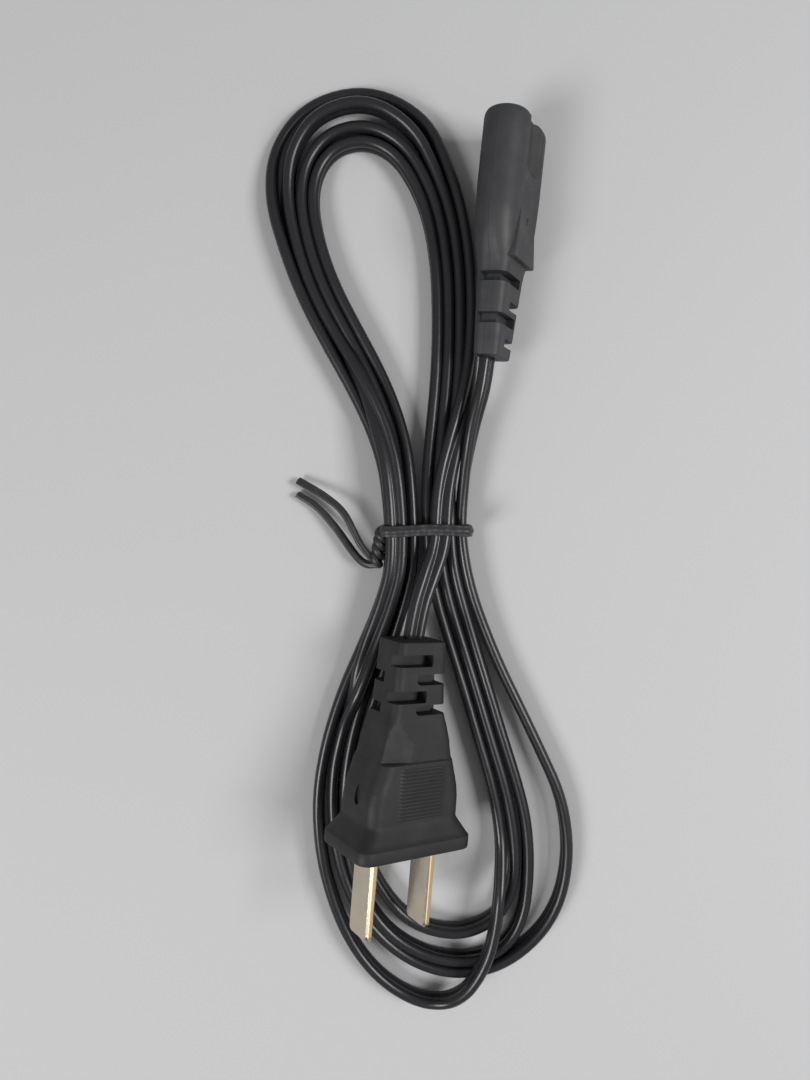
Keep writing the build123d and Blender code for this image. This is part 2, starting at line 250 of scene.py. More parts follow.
def make_piece(name, shells, sharp=None):
    """One object at the origin from one or more shells, shaded smooth, with edges over the given angle
    kept sharp."""
    points, faces, coords, start = [], [], [], 0
    for shell_points, shell_faces, shell_uv in shells:
        points.append(shell_points)
        faces += [[i + start for i in face] for face in shell_faces]
        start += len(shell_points)
        if shell_uv is not None:
            coords.append(shell_uv)
    mesh = bpy.data.meshes.new(name)
    mesh.from_pydata(np.concatenate(points).tolist(), [], faces)
    if coords:
        layer = mesh.uv_layers.new(name="along_and_round")
        layer.data.foreach_set("uv", np.concatenate(coords).ravel())
    mesh.polygons.foreach_set("use_smooth", np.ones(len(mesh.polygons), bool))
    mesh.update()
    if sharp is not None:
        mesh.set_sharp_from_angle(angle=math.radians(sharp))
    piece = bpy.data.objects.new(name, mesh)
    bpy.context.scene.collection.objects.link(piece)
    return piece


def tidy_faces(mesh, near=2e-6):
    """Joins points that lie on each other, splits the faces into triangles and takes out those without
    any area."""
    work = bmesh.new()
    work.from_mesh(mesh)
    bmesh.ops.remove_doubles(work, verts=work.verts, dist=near)
    bmesh.ops.triangulate(work, faces=work.faces)
    bmesh.ops.dissolve_degenerate(work, edges=work.edges, dist=near)
    bmesh.ops.triangulate(work, faces=work.faces)
    work.to_mesh(mesh)
    work.free()


def cut_away(piece, cutter):
    """Takes the cutter's volume off the piece and removes the cutter."""
    cut = piece.modifiers.new("cut", "BOOLEAN")
    cut.operation = "DIFFERENCE"
    cut.solver = "EXACT"
    cut.use_self = True
    cut.object = cutter
    bpy.context.view_layer.update()
    depsgraph = bpy.context.evaluated_depsgraph_get()
    mesh = bpy.data.meshes.new_from_object(piece.evaluated_get(depsgraph))
    piece.modifiers.clear()
    old, piece.data = piece.data, mesh
    bpy.data.meshes.remove(old)
    bpy.data.objects.remove(cutter)
    mesh.name = piece.name
    tidy_faces(mesh)
    mesh.polygons.foreach_set("use_smooth", np.ones(len(mesh.polygons), bool))
    mesh.set_sharp_from_angle(angle=math.radians(SHARP_ANGLE))


def rounded_outline(across, down, corner):
    """Columns of a rounded rectangle: a smaller rectangle's edge (u, v from -1 to 1) pushed out along the
    normal angle by the corner radius. Gives u, v and the angle for each column."""
    side = np.linspace(-1, 1, down)
    top = np.linspace(1, -1, across)
    arc = np.linspace(0, 0.5 * np.pi, corner + 2)[1:-1]
    quarter = 0.5 * np.pi
    ones_s, ones_c, ones_t = np.ones(down), np.ones(corner), np.ones(across)
    u = np.concatenate([ones_s, ones_c, top, -ones_c, -ones_s, -ones_c, -top, ones_c])
    v = np.concatenate([side, ones_c, ones_t, ones_c, -side, -ones_c, -ones_t, -ones_c])
    angle = np.concatenate([
        0 * side, arc, quarter * ones_t, arc + quarter,
        2 * quarter * ones_s, arc + 2 * quarter, 3 * quarter * ones_t, arc + 3 * quarter])
    return u, v, angle


def carried_outline(stations, columns):
    """A rounded rectangle carried along z. Each station is z, half width, half depth and corner radius:
    x = u (half width - radius) + radius cos(angle), y = v (half depth - radius) + radius sin(angle)."""
    u, v, angle = columns
    z, a, b, r = (np.asarray(stations, float)[:, i, None] for i in range(4))
    x = u * (a - r) + r * np.cos(angle)
    y = v * (b - r) + r * np.sin(angle)
    return np.stack([x, y, z + 0 * x], axis=-1)


def prism(profile, low, high, order):
    """A flat profile carried straight from low to high. The order says which axes the two profile numbers
    and the height go to."""
    profile = np.asarray(profile, float)
    count = len(profile)
    layers = [np.concatenate([profile, np.full((count, 1), level)], axis=1) for level in (low, high)]
    return np.stack(layers)[:, :, order]


def slot_end(x_open, x_end, z_low, z_high, bulge=1.0, count=9):
    """A slot's side view: straight at its open side, a half circle at the other end, flattened where the
    bulge is small."""
    middle = (z_low + z_high) / 2
    radius = (z_high - z_low) / 2
    way = math.copysign(1.0, x_end - x_open)
    angle = np.linspace(-0.5 * np.pi, 0.5 * np.pi, count)
    arc = np.stack([x_end + way * bulge * radius * np.cos(angle), middle + radius * np.sin(angle)], axis=1)
    return np.concatenate([[(x_open, z_low)], arc, [(x_open, z_high)]])


def through_points(points, per):
    """A smooth line through the points: between two of them the Catmull-Rom cubic of the four nearest."""
    p = np.asarray(points, float)
    p = np.concatenate([[2 * p[0] - p[1]], p, [2 * p[-1] - p[-2]]])
    t = np.linspace(0, 1, per, endpoint=False)[None, :, None]
    a, b, c, d = p[:-3, None], p[1:-2, None], p[2:-1, None], p[3:, None]
    square = (2 * a - 5 * b + 4 * c - d) * t ** 2
    cube = (3 * b - a - 3 * c + d) * t ** 3
    curve = 0.5 * (2 * b + (c - a) * t + square + cube)
    return np.concatenate([curve.reshape(-1, 3), p[-2:-1]])


def across_line(line, lean):
    """Two unit directions square to a line at each of its points: the wide one stands up from the ground
    where the lean is 0 and tips to the left of travel as the lean grows, and the thin one is square to it."""
    along = np.gradient(line, axis=0)
    along /= np.linalg.norm(along, axis=1, keepdims=True)
    side = np.cross(along, (0.0, 0.0, 1.0))
    side /= np.linalg.norm(side, axis=1, keepdims=True)
    up = np.cross(side, along)
    lean = np.radians(lean)[:, None]
    wide = np.cos(lean) * up - np.sin(lean) * side
    return wide, np.cross(along, wide)


def swept_section(line, lean, w, t):
    """Rings of a flat section carried along a line: line + w wide + t thin at every point."""
    wide, thin = across_line(line, lean)
    return line[:, None] + wide[:, None] * w[None, :, None] + thin[:, None] * t[None, :, None]


# Materials


class Value:
    """A shader socket that takes part in sums: an expression on it adds the Math nodes that work it out."""

    def __init__(self, finish, socket):
        self.finish, self.socket = finish, socket

    def sum(self, operation, first, second):
        return self.finish.node("ShaderNodeMath", {"operation": operation}, {0: first, 1: second})

    def __add__(self, other):
        return self.sum("ADD", self, other)

    def __sub__(self, other):
        return self.sum("SUBTRACT", self, other)

    def __rsub__(self, other):
        return self.sum("SUBTRACT", other, self)

    def __mul__(self, other):
        return self.sum("MULTIPLY", self, other)

    __radd__, __rmul__ = __add__, __mul__


class Finish:
    """A material under construction: its node tree and its main shader."""

    def __init__(self, name, colour, roughness, **uniform):
        self.material = bpy.data.materials.new(name)
        self.material.use_nodes = True
        self.tree = self.material.node_tree
        self.shader = self.tree.nodes["Principled BSDF"]
        self.shader.inputs["Base Color"].default_value = (*colour, 1)
        self.shader.inputs["Roughness"].default_value = roughness
        for label, value in uniform.items():
            self.shader.inputs[label.replace("_", " ")].default_value = value

    def feed(self, socket, value):
        if isinstance(value, Value):
            self.tree.links.new(value.socket, socket)
        else:
            socket.default_value = value

    def node(self, kind, settings=None, inputs=None, output=0):
        made = self.tree.nodes.new(kind)
        for key, value in (settings or {}).items():
            setattr(made, key, value)
        for key, value in (inputs or {}).items():
            self.feed(made.inputs[key], value)
        return Value(self, made.outputs[output])

    def place(self):
        return self.node("ShaderNodeTexCoord", output="Object")

    def noise(self, scale, detail=3.0, roughness=0.55, at=None):
        inputs = {"Vector": at or self.place(), "Scale": scale, "Detail": detail, "Roughness": roughness}
        return self.node("ShaderNodeTexNoise", None, inputs)

    def band(self, value, low, high, to_low=0.0, to_high=1.0):
        inputs = {0: value, 1: low, 2: high, 3: to_low, 4: to_high}
        return self.node("ShaderNodeMapRange", {"interpolation_type": "SMOOTHSTEP"}, inputs)

    def blend(self, factor, first, second):
        made = self.tree.nodes.new("ShaderNodeMix")
        made.data_type = "RGBA"
        first, second = (value if isinstance(value, Value) else (*value, 1) for value in (first, second))
        sockets = {socket.identifier: socket for socket in made.inputs}
        self.feed(sockets["Factor_Float"], factor)
        self.feed(sockets["A_Color"], first)
        self.feed(sockets["B_Color"], second)
        return Value(self, next(s for s in made.outputs if s.identifier == "Result_Color"))

    def dot(self, direction):
        inputs = {0: self.place(), 1: tuple(direction)}
        return self.node("ShaderNodeVectorMath", {"operation": "DOT_PRODUCT"}, inputs, output="Value")

    def distance_to(self, plane):
        normal, level = plane
        return self.node("ShaderNodeMath", {"operation": "ABSOLUTE"}, {0: self.dot(normal) - level})

    def colour(self, value):
        self.feed(self.shader.inputs["Base Color"], value)

    def roughness(self, value):
        self.feed(self.shader.inputs["Roughness"], value)

    def bump(self, height, distance, strength=1.0):
        inputs = {"Strength": strength, "Distance": distance, "Height": height}
        self.feed(self.shader.inputs["Normal"], self.node("ShaderNodeBump", None, inputs))


def shade(colour, factor):
    return tuple(min(1.0, c * factor) for c in colour)


def jacket_finish(settings):
    """Glossy vinyl: fine lengthwise ribs on one lobe, a slow waviness, and faint dust in the roughness."""
    finish = Finish("flex_vinyl", settings.colour, settings.gloss, IOR=1.45)
    ribs_around = 44
    uv = finish.node("ShaderNodeUVMap", {"uv_map": "along_and_round"})
    around = finish.node("ShaderNodeSeparateXYZ", None, {0: uv}, output="Y")
    ribs = finish.node("ShaderNodeMath", {"operation": "SINE"}, {0: around * (2 * math.pi * ribs_around)})
    one_lobe = finish.band(around, 0.80, 0.84) + finish.band(around, 0.16, 0.12)
    waves = finish.noise(160, 2.0)
    dust = finish.noise(900, 4.0, 0.7)
    finish.colour(finish.blend(finish.band(dust, 0.55, 0.8), settings.colour, shade(settings.colour, 1.3)))
    finish.roughness(settings.gloss + 0.05 * finish.band(dust, 0.45, 0.8) + 0.08 * waves)
    finish.bump(ribs * one_lobe * 0.12 + waves * 1.6, 0.00004, 0.5)
    return finish.material


def moulded_finish(name, colour, roughness, seam, handled):
    """Spark-textured moulded plastic: a fine grain, soft mottling where it is handled, and the faint line
    where the two halves of the mould met."""
    finish = Finish(name, colour, roughness, IOR=1.42)
    grain = finish.noise(5200, 3.0, 0.6)
    mottle = finish.noise(170, 4.0, 0.62)
    scuff = finish.noise(620, 5.0, 0.7)
    base = finish.blend(finish.band(mottle, 0.35, 0.7), shade(colour, 0.9), handled)
    finish.colour(finish.blend(finish.band(scuff, 0.60, 0.80, 0.0, 0.5), base, shade(colour, 1.5)))
    finish.roughness(roughness - 0.10 * finish.band(mottle, 0.4, 0.75) + 0.12 * grain)
    seam_line = finish.band(finish.distance_to(seam), 0.00012, 0.00003)
    finish.bump(grain * 0.7 + scuff * 0.5 + seam_line * 1.2, 0.00005, 0.65)
    return finish.material


def plated_finish(name, colour, roughness, along, edge=None):
    """Stamped plated brass: fine draw lines along the blade, a duller patina in patches and, where an edge
    is given as a plane and a half width, warmer sheared edges that far from the plane."""
    finish = Finish(name, colour, roughness, Metallic=1.0)
    way = tuple(unit(along))
    stretch = 0.965
    inputs = {0: way, "Scale": finish.dot(way) * stretch}
    drawn = finish.node("ShaderNodeVectorMath", {"operation": "SCALE"}, inputs)
    inputs = {0: finish.place(), 1: drawn}
    flat = finish.node("ShaderNodeVectorMath", {"operation": "SUBTRACT"}, inputs)
    lines = finish.noise(2600, 3.0, 0.65, flat)
    patina = finish.noise(260, 4.0, 0.6)
    plate = finish.blend(finish.band(patina, 0.35, 0.72), colour, shade(colour, 0.9))
    dullness = roughness + 0.05 * finish.band(patina, 0.3, 0.8) + 0.06 * lines
    if edge:
        plane, half_width = edge
        sheared = finish.band(finish.distance_to(plane), half_width - 0.00018, half_width - 0.00006)
        plate = finish.blend(sheared, plate, SHEARED_BRASS)
        dullness = dullness + 0.30 * sheared
    finish.colour(plate)
    finish.roughness(dullness)
    finish.bump(lines, 0.00001, 0.4)
    return finish.material


def plain_plastic_finish(name, colour, roughness):
    """Smooth plastic with a slight unevenness in colour and surface."""
    finish = Finish(name, colour, roughness)
    uneven = finish.noise(700, 4.0, 0.65)
    finish.colour(finish.blend(finish.band(uneven, 0.4, 0.75), colour, shade(colour, 1.6)))
    finish.roughness(roughness + 0.15 * uneven)
    finish.bump(uneven, 0.00006, 0.6)
    return finish.material


def dress_nodes(material, *names):
    for name in names:
        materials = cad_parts[name].data.materials
        materials.clear()
        materials.append(material)


# The route of the flex. Each point is x, y, z in plan millimetres and a lean in degrees: 0 stands on edge,
# 90 lies flat. A strand that stands on edge on the floor has its middle one lobe's thickness up.

# The inner edge of the top loop, up its right side and down its left: x, y and the outward direction in
# degrees.
TOP_GUIDE = [
    (3.0, 7.8, 0), (3.2, 14.0, 0), (3.9, 21.7, 5), (4.8, 31.2, 4), (5.1, 41.2, 0), (4.8, 51.4, 6),
    (3.4, 60.0, 14), (0.8, 66.4, 30), (-2.6, 71.3, 52), (-7.1, 73.5, 88), (-12.0, 72.6, 122),
    (-15.2, 69.1, 150), (-16.3, 63.8, 176), (-15.0, 56.4, 196), (-12.2, 48.5, 208), (-8.0, 40.6, 212),
    (-2.9, 31.2, 208), (0.8, 21.3, 196), (2.3, 12.1, 186)]


def top_turn(rows):
    """A turn of the top loop: each row is the distance outward from the guide, the height and the lean."""
    x, y, way = np.array(TOP_GUIDE, float).T
    out, height, lean = np.array(rows, float).T
    way = np.radians(way)
    return np.stack([x + out * np.cos(way), y + out * np.sin(way), height, lean], axis=1)


def low_turn(rows):
    """A stretch of a bottom loop that stands on edge all the way: each row is x, y and the height."""
    rows = np.array(rows, float)
    return np.concatenate([rows, np.zeros((len(rows), 1))], axis=1)


TOP_OUTER = top_turn([
    (3.9, 6.6, 90), (4.7, 6.1, 78), (6.2, 5.2, 55), (7.5, 3.6, 25), (7.6, 2.4, 5), (7.5, 2.1, 0),
    (7.5, 2.1, 0), (7.9, 2.1, -12), (9.0, 1.65, -55), (9.8, 1.12, -86), (9.9, 1.08, -90), (9.4, 1.2, -82),
    (8.4, 1.85, -40), (7.7, 2.1, -8), (7.6, 2.1, 0), (7.6, 2.1, 0), (7.4, 2.1, 0), (6.7, 2.3, 0),
    (5.8, 3.1, 0)])
TOP_SECOND = top_turn([
    (5.5, 3.5, 0), (5.4, 3.0, 0), (5.4, 2.2, 0), (5.4, 2.1, 0), (5.4, 2.1, 0), (5.4, 2.1, 0),
    (5.4, 2.1, 0), (5.6, 2.4, 0), (6.6, 3.5, 0), (7.5, 4.3, 0), (7.3, 4.3, 0), (6.6, 3.5, 0),
    (5.7, 2.4, 0), (5.4, 2.1, 0), (5.4, 2.1, 0), (5.3, 2.5, 5), (4.9, 4.9, 28), (4.9, 5.8, 75),
    (4.4, 6.5, 90)])
TOP_THIRD = top_turn([
    (3.3, 3.5, 0), (3.25, 3.0, 0), (3.25, 2.2, 0), (3.25, 2.1, 0), (3.25, 2.1, 0), (3.25, 2.1, 0),
    (3.25, 2.1, 0), (3.3, 2.1, 0), (3.6, 2.1, 0), (3.9, 2.1, 0), (3.9, 2.1, 0), (3.6, 2.1, 0),
    (3.3, 2.1, 0), (3.25, 2.1, 0), (3.25, 2.1, 0), (3.25, 2.1, 0), (3.25, 2.1, 0), (3.3, 2.3, 0),
    (3.4, 3.1, 0)])
TOP_INNER = top_turn(
    [(1.15, 3.5, 0), (1.1, 3.0, 0), (1.1, 2.2, 0)] + [(1.1, 2.1, 0)] * 14 + [(1.1, 2.3, 0), (1.15, 3.1, 0)])

PLUG_RUN = [(1.344, -18.77, 10.24, 60), (2.4, -12.0, 9.86, 62), (4.5, -6.1, 8.6, 75), (6.6, -0.2, 7.0, 90)]
LOW_OUTER = low_turn([
    (-2.5, -3.7, 3.5), (-4.7, -11.9, 2.8), (-8.5, -20.9, 2.1), (-12.6, -30.2, 2.1), (-15.6, -40.2, 2.1),
    (-17.2, -50.2, 2.1), (-16.8, -60.4, 2.1), (-14.9, -69.6, 2.1), (-11.2, -79.3, 2.1), (-5.4, -87.2, 2.1),
    (2.0, -92.0, 2.2), (8.0, -91.9, 3.4), (11.9, -88.2, 5.9), (14.5, -84.0, 6.6), (16.5, -79.6, 6.4),
    (17.6, -74.4, 6.4), (18.2, -69.1, 6.2), (18.7, -64.4, 4.4), (18.9, -59.6, 2.5), (18.2, -53.7, 2.1),
    (16.5, -46.2, 2.1), (14.1, -38.2, 2.1), (11.5, -29.2, 2.1), (8.8, -20.5, 2.1), (6.2, -11.9, 2.8),
    (4.5, -3.7, 3.5)])
LOW_INNER = low_turn([
    (1.8, -3.7, 3.5), (-0.1, -11.9, 2.8), (-2.7, -20.5, 2.1), (-5.5, -29.2, 2.1), (-8.1, -38.2, 2.1),
    (-9.6, -47.2, 2.1), (-9.3, -56.3, 2.1), (-7.5, -63.5, 2.1), (-4.6, -69.2, 2.1), (-0.4, -74.6, 2.1),
    (5.0, -77.4, 2.1), (11.0, -78.2, 2.1), (16.4, -76.2, 2.1), (19.7, -72.7, 2.1), (21.5, -67.6, 2.1),
    (21.7, -61.4, 2.1), (20.9, -54.3, 2.1), (19.3, -47.2, 2.1), (16.7, -38.8, 2.1), (14.0, -29.6, 2.1),
    (11.2, -20.5, 2.1), (8.5, -11.9, 2.8), (6.7, -3.7, 3.5)])
LOW_THIRD = low_turn([
    (-0.35, -3.7, 3.5), (-2.4, -11.9, 2.8), (-5.1, -20.5, 2.1), (-7.8, -29.2, 2.1), (-10.4, -38.2, 2.1),
    (-11.8, -47.2, 2.1), (-11.9, -56.3, 2.1), (-10.4, -65.1, 2.1), (-7.5, -72.3, 2.1), (-3.1, -78.2, 2.1),
    (3.0, -82.2, 2.1), (10.0, -84.0, 2.1), (16.4, -83.2, 2.1), (21.2, -79.4, 2.1), (23.6, -73.8, 2.1),
    (24.3, -67.6, 2.1), (24.4, -61.4, 2.1), (23.7, -54.3, 2.1), (21.9, -47.2, 2.1), (19.2, -38.8, 2.1),
    (16.4, -29.6, 2.1), (13.6, -20.5, 2.1), (10.9, -11.5, 2.9), (8.9, -3.7, 3.5)])
LOW_WIDE_START = [
    (-1.3, -3.4, 6.6, 90), (-3.4, -11.6, 6.0, 88), (-6.7, -20.1, 5.2, 80), (-8.2, -24.9, 5.6, 60),
    (-9.6, -29.6, 4.9, 25), (-11.5, -34.2, 2.8, 5)]
LOW_WIDE = low_turn([
    (-12.6, -38.6, 2.1), (-13.8, -43.9, 2.1), (-14.3, -51.3, 2.1), (-13.7, -59.8, 2.1), (-11.9, -67.1, 2.1),
    (-8.8, -73.9, 2.1), (-3.8, -79.9, 2.1), (2.2, -84.1, 2.1), (9.0, -86.2, 2.1), (16.2, -85.6, 2.1),
    (22.2, -82.6, 2.1), (27.5, -77.4, 2.1), (30.8, -71.0, 2.1), (32.1, -63.5, 2.1), (31.8, -56.3, 2.1),
    (30.2, -49.2, 2.1), (26.7, -41.6, 2.1), (22.5, -32.8, 2.1), (18.5, -24.7, 2.1), (15.2, -16.8, 2.4),
    (12.6, -9.6, 3.1), (11.1, -2.8, 3.5)])
CONNECTOR_RUN = [
    (10.5, 3.2, 3.6, 0), (10.9, 9.6, 4.0, 0), (11.6, 15.7, 5.0, 8), (12.8, 22.6, 6.7, 20),
    (14.56, 29.21, 8.12, 27), (15.16, 35.18, 8.12, 27)]

ROUTE = np.concatenate([
    PLUG_RUN, TOP_OUTER, LOW_OUTER, TOP_INNER, LOW_INNER, TOP_THIRD, LOW_THIRD, TOP_SECOND, LOW_WIDE_START,
    LOW_WIDE, CONNECTOR_RUN])


def read_spline(points, steps):
    """The points that one open NURBS spline of order 3 passes, as the curve's own mesh gives them."""
    curve = bpy.data.curves.new("flex_route", "CURVE")
    curve.dimensions = "3D"
    spline = curve.splines.new("NURBS")
    spline.points.add(len(points) - 1)
    spline.points.foreach_set("co", np.concatenate([points, np.ones((len(points), 1))], axis=1).ravel())
    spline.order_u = 3
    spline.use_endpoint_u = True
    spline.resolution_u = steps
    carrier = bpy.data.objects.new("flex_route", curve)
    bpy.context.scene.collection.objects.link(carrier)
    mesh = bpy.data.meshes.new_from_object(carrier)
    line = np.empty(len(mesh.vertices) * 3)
    mesh.vertices.foreach_get("co", line)
    bpy.data.objects.remove(carrier)
    bpy.data.curves.remove(curve)
    bpy.data.meshes.remove(mesh)
    return line.reshape(-1, 3)


def leans_along(count):
    """The lean at each of the line's points: read off between the middles of the spline's stretches, then
    smoothed over nine points."""
    last = len(ROUTE) - 2
    middles = np.concatenate([[0], np.arange(1, last + 1) - 0.5, [last]])
    lean = np.interp(np.linspace(0, last, count), middles, ROUTE[:, 3])
    weights = np.hanning(9)
    return np.convolve(np.pad(lean, 4, mode="edge"), weights / weights.sum(), mode="valid")


# The plug's shape, in millimetres in its own frame


def plug_stations(ribbed_from=-6.5, ribbed_to=-16.45):
    """Sections of the plug from its front face to the end of its relief: flange, ramp, waisted grip, neck
    and relief. The grip's and the neck's sizes run straight between the pairs of numbers given for them."""
    front = [
        (0, 11.6, 7.1, 2.0), (-0.04, 11.85, 7.35, 2.25), (-0.16, 12.02, 7.52, 2.42), (-0.4, 12.1, 7.6, 2.5),
        (-2.2, 12.1, 7.6, 2.5), (-2.42, 12.02, 7.52, 2.45), (-2.56, 11.86, 7.36, 2.4),
        (-3.4, 11.3, 6.98, 2.4), (-4.6, 10.5, 6.45, 2.4), (-5.3, 10.05, 6.14, 2.4), (-5.7, 9.84, 6.03, 2.4),
        (-6.1, 9.8, 6.0, 2.4)]
    grip = np.arange(ribbed_from, ribbed_to, -0.11)
    waist = np.interp(-grip, (6.5, 9.4, 11.5, 13.1, 14.5, 16.5), (9.85, 9.8, 9.5, 9.05, 8.6, 8.0))
    thick = 6.0 + 0.1 * (grip + 5.6) / 11.0
    step = [(-16.5, 7.98, 5.86, 2.4), (-16.6, 7.94, 5.72, 2.35)]
    neck = np.arange(-16.8, -24.5, -0.24)
    hip = np.interp(-neck, (16.8, 18.9, 21.0, 22.9, 24.5), (7.86, 7.3, 6.95, 6.6, 6.1))
    depth = np.interp(-neck, (16.8, 19.85, 23.9, 24.5), (5.55, 5.5, 4.45, 4.42))
    corner = np.interp(-neck, (16.8, 24.5), (2.2, 1.65))
    relief = [
        (-24.9, 5.92, 4.4, 1.6), (-26.5, 5.78, 4.36, 1.57), (-29.0, 5.6, 4.28, 1.55), (-32.0, 5.46, 4.2, 1.5),
        (-35.0, 5.34, 4.12, 1.45), (-37.6, 5.24, 4.06, 1.4), (-37.88, 5.16, 3.98, 1.35),
        (PLUG_BACK, 4.98, 3.8, 1.2)]
    grip_rows = np.stack([grip, waist, thick, np.full(len(grip), 2.4)], axis=1)
    neck_rows = np.stack([neck, hip, depth, corner], axis=1)
    return np.concatenate([front, grip_rows, step, neck_rows, relief])


def trim_neck(rings, top=-16.65, foot=-24.0, height=5.5, across=0.264, along=0.057, lowest=3.0):
    """The neck's raised bridge falls away to one side: the plane y = height + across (x + 2.6) +
    along (z + 16.6), never under the lowest, trims it, and its half turn trims the other face."""
    on_neck = (rings[:, :, 2] < top) & (rings[:, :, 2] > foot)
    for half in (1, -1):
        plane = height + across * (half * rings[:, :, 0] + 2.6) + along * (rings[:, :, 2] + 16.6)
        plane = np.maximum(plane, lowest)
        over = on_neck & (half * rings[:, :, 1] > plane)
        rings[:, :, 1] = np.where(over, half * plane, rings[:, :, 1])


def raise_ribs(
        rings, height, pitch, first=-6.6, last=-15.8, crest=-6.9, middle=0.6, half_length=5.0, fading=0.5,
        broad_from=5.85):
    """The grip ribs stand on both broad faces: height times a clipped cosine of z with a crest at the given
    place, faded out at both ends of each rib."""
    x, y, z = np.moveaxis(rings, -1, 0)
    wave = np.clip(0.5 + 1.5 * np.cos(2 * np.pi * (z - crest) / pitch), 0, 1)
    wave *= (z < first) & (z > last)
    fade = np.clip((half_length - np.abs(x - middle)) / fading, 0, 1)
    broad = np.abs(y) > broad_from
    rings[:, :, 1] = y + np.sign(y) * height * wave * fade * broad


# The slots of the plug's relief: lower and upper z, the side that it opens to, how far it reaches past the
# middle, and how round its inner end is.
PLUG_SLOTS = (
    (-35.7, -33.5, -1, 1.8, 0.25), (-32.2, -30.2, 1, 0.3, 1.0),
    (-29.2, -27.0, -1, 0.8, 0.25), (-26.6, -24.8, 1, 0.3, 1.0))

# The y that the slots, and the notches at their open sides, are cut between.
SLOT_DEPTHS = (1.5, 6.5)
NOTCH_DEPTHS = (0.2, 2.5)

# The oval recess in the grip's edge: its middle and half sizes in y and z, and the x that it is cut between.
OVAL_MIDDLE, OVAL_HALF_SIZES, OVAL_DEPTHS = (0.5, -10.4), (0.85, 1.8), (-10.9, -9.2)


def plug_cutters(outside=7.2, shelf=4.2):
    """The slots on both faces with the oval recess in the grip's edge, and the notches where a slot's open
    side is cut deeper."""
    slots, notches = [], []
    for low, high, way, reach, bulge in PLUG_SLOTS:
        side = slot_end(way * outside, -way * reach, low, high, bulge)
        block = np.array([(shelf, low), (outside, low), (outside, high), (shelf, high)])
        for turn in (1, -1):
            slot = prism(side * (turn, 1), *(turn * depth for depth in SLOT_DEPTHS), [0, 2, 1])
            slots.append(tube_shell(on_plug(slot)))
            if way > 0:
                notch = prism(block * (turn, 1), *(turn * depth for depth in NOTCH_DEPTHS), [0, 2, 1])
                notches.append(tube_shell(on_plug(notch)))
    angle = np.linspace(0, 2 * np.pi, 24, endpoint=False)
    oval = np.stack([np.cos(angle), np.sin(angle)], axis=1) * OVAL_HALF_SIZES + OVAL_MIDDLE
    slots.append(tube_shell(on_plug(prism(oval, *OVAL_DEPTHS, [2, 0, 1]))))
    return slots, notches


# The connector's shape, in millimetres in its own frame

CONNECTOR_STATIONS = [
    (0, 7.4, 3.1, 3.09), (-0.06, 7.7, 3.4, 3.39), (-0.3, 8.04, 3.74, 3.73), (-0.75, 8.28, 3.98, 3.97),
    (-1.4, 8.4, 4.1, 4.09), (-4, 8.4, 4.1, 4.09), (-8, 8.4, 4.1, 4.09), (-12.4, 8.4, 4.1, 4.09),
    (-15, 8.32, 4.05, 4.04), (-17.5, 8.2, 3.98, 3.97), (-19.5, 8.02, 3.91, 3.9), (-21, 7.72, 3.83, 3.75),
    (-22.4, 7.22, 3.72, 3.4), (-23.6, 6.62, 3.58, 2.95), (-24.6, 6.05, 3.42, 2.5), (-25.4, 5.62, 3.25, 2.15),
    (-26.2, 5.34, 3.1, 1.95), (-27.2, 5.16, 3.02, 1.85), (-30, 4.92, 2.9, 1.8), (-33, 4.68, 2.78, 1.75),
    (-36, 4.44, 2.66, 1.68), (-39, 4.2, 2.55, 1.6), (-41.4, 4.02, 2.46, 1.55), (-41.7, 3.94, 2.38, 1.48),
    (-41.8, 3.78, 2.22, 1.33)]
PAD_STATIONS = [
    (-14.5, 3.15, 0.47, 0.1), (-14.7, 3.3, 0.58, 0.12), (-18.0, 3.9, 0.76, 0.14), (-21.6, 4.52, 0.92, 0.14),
    (-24.6, 5.05, 1.02, 0.14), (-24.82, 5.03, 1.0, 0.14), (-24.9, 4.93, 0.9, 0.1)]
PAD_HEIGHT = 3.42
PIP_PLACE, PIP_HALF_SIZES = (0.0, 3.98, -17.7), (0.4, 0.5, 0.7)
MOUTH_STATIONS = [(0.5, 6.7, 2.6, 2.59), (-15.0, 6.7, 2.6, 2.59)]

# Two slot outlines across the relief. The bent one runs round the upper edge and is turned by half for the
# other face; the straight one is open at the lower edge and is mirrored for it.
BENT_SLOT = [(-2.5, 1.2), (2.8, 1.2), (2.8, -1.9), (7.2, -1.9), (7.2, 5.2), (-2.5, 5.2)]
STRAIGHT_SLOT = [(-7.2, 0.2), (-2.6, 0.2), (-2.6, 1.1), (0.8, 1.1), (0.8, 5.2), (-7.2, 5.2)]
CONNECTOR_SLOTS = (
    (-29.1, -27.4, BENT_SLOT, (-1, -1)), (-33.4, -31.9, STRAIGHT_SLOT, (1, -1)),
    (-36.3, -34.4, BENT_SLOT, (-1, -1)), (-39.9, -38.5, STRAIGHT_SLOT, (1, -1)))


def pad_and_pip():
    """The thumb pad, and the pip on it: a half sphere, (sin(rise) cos(turn), cos(rise), sin(rise) sin(turn)),
    stretched to its half sizes."""
    pad = carried_outline(PAD_STATIONS, rounded_outline(13, 3, 4))
    pad[:, :, 1] += PAD_HEIGHT
    around = np.linspace(0, 2 * np.pi, 20, endpoint=False)
    turn, rise = np.meshgrid(around, np.linspace(0.05, 0.5 * np.pi, 6))
    dome = np.stack([np.sin(rise) * np.cos(turn), np.cos(rise), np.sin(rise) * np.sin(turn)], axis=-1)
    return tube_shell(on_connector(pad)), tube_shell(on_connector(dome * PIP_HALF_SIZES + PIP_PLACE))


